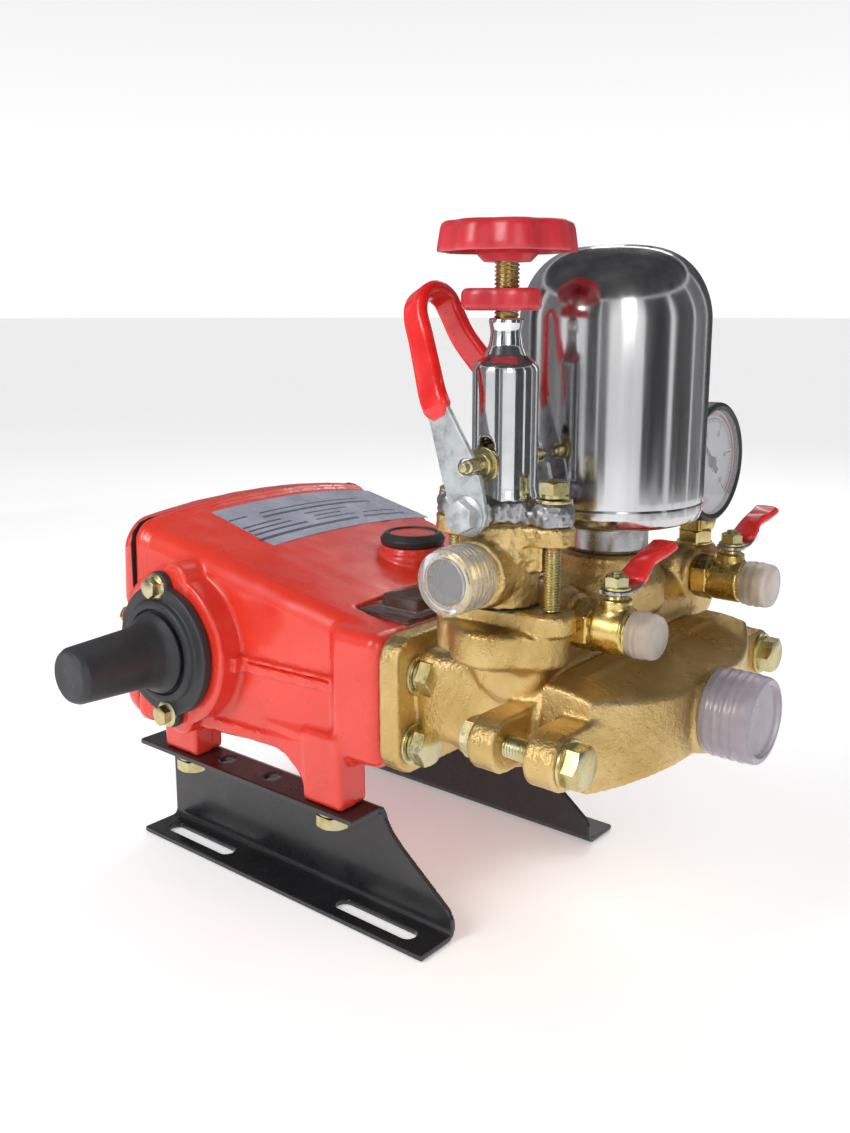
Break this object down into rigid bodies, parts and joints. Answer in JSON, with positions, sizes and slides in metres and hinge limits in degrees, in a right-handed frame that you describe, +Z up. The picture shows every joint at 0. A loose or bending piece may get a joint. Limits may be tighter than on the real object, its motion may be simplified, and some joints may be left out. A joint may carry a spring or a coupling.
{
  "type": "plunger pump",
  "caption": "Belt-driven triplex plunger pump for pressure washing, on two folded steel brackets, with pressure regulator, air chamber, gauge and two delivery cocks.",
  "frame": {"origin": "on the ground under the middle of the bounding box", "axes": "+X along the plungers towards the suction port, -Y towards the drive shaft, +Z up"},
  "size_m": [0.3538, 0.294, 0.351],
  "materials": {
    "red_paint": "glossy orange-red enamel over an aluminium casting",
    "black_paint": "gloss black powder coat",
    "black_plastic": "matt moulded black plastic",
    "cast_brass": "sand-cast, gold lacquered",
    "machined_brass": "turned and lightly tarnished",
    "machined_steel": "machined, oiled",
    "chrome": "bright chrome plate",
    "polished_stainless": "polished stainless steel",
    "zinc_plate": "yellow passivated zinc plate",
    "red_plastic": "moulded red plastic",
    "red_vinyl": "dipped red vinyl",
    "clear_plastic": "translucent protective plastic",
    "rubber": "nitrile rubber",
    "ceramic": "ground ceramic"
  },
  "bodies": {
    "pump": {"bracket_near": "black_paint", "bracket_far": "black_paint", "crankcase": "red_paint", "rear_cover": "red_paint", "rear_gasket": "rubber", "oil_filler_cap": "black_plastic", "splash_cover": "clear_plastic", "bearing_cover_near": "black_plastic", "bearing_cover_far": "black_plastic", "main_bearing_near": "machined_steel", "main_bearing_far": "machined_steel", "plunger_packing_1": "rubber", "plunger_packing_2": "rubber", "plunger_packing_3": "rubber", "valve_block": "cast_brass", "suction_manifold": "cast_brass", "suction_cap": "clear_plastic", "regulator_body": "cast_brass", "spring_cover": "chrome", "regulator_bolt_1": "zinc_plate", "regulator_bolt_2": "zinc_plate", "regulator_spring": "machined_steel", "overflow_cap": "clear_plastic", "air_chamber": "polished_stainless", "gauge_case": "black_plastic", "gauge_stem": "machined_brass", "cock_body_1": "machined_brass", "cock_body_2": "machined_brass", "cock_cap_1": "clear_plastic", "cock_cap_2": "clear_plastic"},
    "crank": {"crankshaft": "machined_steel", "shaft_cap": "black_plastic"},
    "big_end_1": {"big_end_1": "machined_steel"},
    "plunger_line_1": {"connecting_rod_1": "machined_steel", "plunger_1": "ceramic"},
    "big_end_2": {"big_end_2": "machined_steel"},
    "plunger_line_2": {"connecting_rod_2": "machined_steel", "plunger_2": "ceramic"},
    "big_end_3": {"big_end_3": "machined_steel"},
    "plunger_line_3": {"connecting_rod_3": "machined_steel", "plunger_3": "ceramic"},
    "suction_valve_1": {"suction_valve_1": "machined_steel"},
    "discharge_valve_1": {"discharge_valve_1": "machined_steel"},
    "suction_valve_2": {"suction_valve_2": "machined_steel"},
    "discharge_valve_2": {"discharge_valve_2": "machined_steel"},
    "suction_valve_3": {"suction_valve_3": "machined_steel"},
    "discharge_valve_3": {"discharge_valve_3": "machined_steel"},
    "seat": {"spring_seat": "machined_steel"},
    "adjuster": {"adjusting_spindle": "zinc_plate", "handwheel": "red_plastic"},
    "nut": {"lock_nut": "red_plastic"},
    "lever": {"lever_strap": "zinc_plate", "lever_grip": "red_vinyl"},
    "unloader": {"lift_pin": "zinc_plate", "unloader_valve": "machined_steel"},
    "cock_1": {"cock_lever_1": "red_vinyl", "cock_ball_1": "chrome"},
    "cock_2": {"cock_lever_2": "red_vinyl", "cock_ball_2": "chrome"},
    "needle": {"gauge_needle": "black_plastic"}
  },
  "joints": [
    {"name": "crank_spin", "type": "hinge", "parent": "pump", "child": "crank", "pos_m": [-0.12405, 0.02055, 0.129], "axis": [0, 1, 0], "continuous": true},
    {"name": "big_end_turn_1", "type": "hinge", "parent": "crank", "child": "big_end_1", "pos_m": [-0.12405, -0.02545, 0.142], "axis": [0, 1, 0], "continuous": true},
    {"name": "plunger_stroke_1", "type": "slide", "parent": "pump", "child": "plunger_line_1", "axis": [1, 0, 0], "range_m": [-0.013, 0.013]},
    {"name": "big_end_turn_2", "type": "hinge", "parent": "crank", "child": "big_end_2", "pos_m": [-0.13531, 0.02055, 0.1225], "axis": [0, 1, 0], "continuous": true},
    {"name": "plunger_stroke_2", "type": "slide", "parent": "pump", "child": "plunger_line_2", "axis": [1, 0, 0], "range_m": [-0.00174, 0.02426]},
    {"name": "big_end_turn_3", "type": "hinge", "parent": "crank", "child": "big_end_3", "pos_m": [-0.11279, 0.06655, 0.1225], "axis": [0, 1, 0], "continuous": true},
    {"name": "plunger_stroke_3", "type": "slide", "parent": "pump", "child": "plunger_line_3", "axis": [1, 0, 0], "range_m": [-0.02426, 0.00174]},
    {"name": "suction_valve_lift_1", "type": "slide", "parent": "pump", "child": "suction_valve_1", "axis": [-1, 0, 0], "range_m": [0, 0.003], "stiffness_N_per_m": 200, "springref_m": -0.002},
    {"name": "discharge_valve_lift_1", "type": "slide", "parent": "pump", "child": "discharge_valve_1", "axis": [0, 0, 1], "range_m": [0, 0.003], "stiffness_N_per_m": 200, "springref_m": -0.002},
    {"name": "suction_valve_lift_2", "type": "slide", "parent": "pump", "child": "suction_valve_2", "axis": [-1, 0, 0], "range_m": [0, 0.003], "stiffness_N_per_m": 200, "springref_m": -0.002},
    {"name": "discharge_valve_lift_2", "type": "slide", "parent": "pump", "child": "discharge_valve_2", "axis": [0, 0, 1], "range_m": [0, 0.003], "stiffness_N_per_m": 200, "springref_m": -0.002},
    {"name": "suction_valve_lift_3", "type": "slide", "parent": "pump", "child": "suction_valve_3", "axis": [-1, 0, 0], "range_m": [0, 0.003], "stiffness_N_per_m": 200, "springref_m": -0.002},
    {"name": "discharge_valve_lift_3", "type": "slide", "parent": "pump", "child": "discharge_valve_3", "axis": [0, 0, 1], "range_m": [0, 0.003], "stiffness_N_per_m": 200, "springref_m": -0.002},
    {"name": "spring_seat_travel", "type": "slide", "parent": "pump", "child": "seat", "axis": [0, 0, 1], "range_m": [-0.00705, 0.00178], "deforming": ["regulator_spring"]},
    {"name": "handwheel_turn", "type": "hinge", "parent": "seat", "child": "adjuster", "pos_m": [0.07645, -0.04745, 0.34], "axis": [0, 0, 1], "range_deg": [-1440, 360]},
    {"name": "lock_nut_turn", "type": "hinge", "parent": "pump", "child": "nut", "pos_m": [0.07645, -0.04745, 0.318], "axis": [0, 0, 1], "range_deg": [-180, 0]},
    {"name": "lever_swing", "type": "hinge", "parent": "pump", "child": "lever", "pos_m": [0.07645, -0.04745, 0.227], "axis": [0, 1, 0], "range_deg": [-62, 0]},
    {"name": "unloader_lift", "type": "slide", "parent": "pump", "child": "unloader", "axis": [0, 0, 1], "range_m": [0, 0.00505]},
    {"name": "cock_turn_1", "type": "hinge", "parent": "pump", "child": "cock_1", "pos_m": [0.12395, -0.02745, 0.19], "axis": [0, 0, 1], "range_deg": [-90, 0]},
    {"name": "cock_turn_2", "type": "hinge", "parent": "pump", "child": "cock_2", "pos_m": [0.12395, 0.09155, 0.19], "axis": [0, 0, 1], "range_deg": [-90, 0]},
    {"name": "needle_turn", "type": "hinge", "parent": "pump", "child": "needle", "pos_m": [0.10395, 0.11455, 0.232], "axis": [1, 0, 0], "range_deg": [-270, 0], "stiffness_Nm_per_rad": 0.002}
  ],
  "couplings": [
    {"joint": "big_end_turn_1", "follows": "crank_spin", "ratio": -1},
    {"joint": "big_end_turn_2", "follows": "crank_spin", "ratio": -1},
    {"joint": "big_end_turn_3", "follows": "crank_spin", "ratio": -1},
    {"joint": "spring_seat_travel", "follows": "handwheel_turn", "m_per_rad": 0.00027852},
    {"joint": "unloader_lift", "follows": "lever_swing", "m_per_rad": -0.0046206}
  ]
}
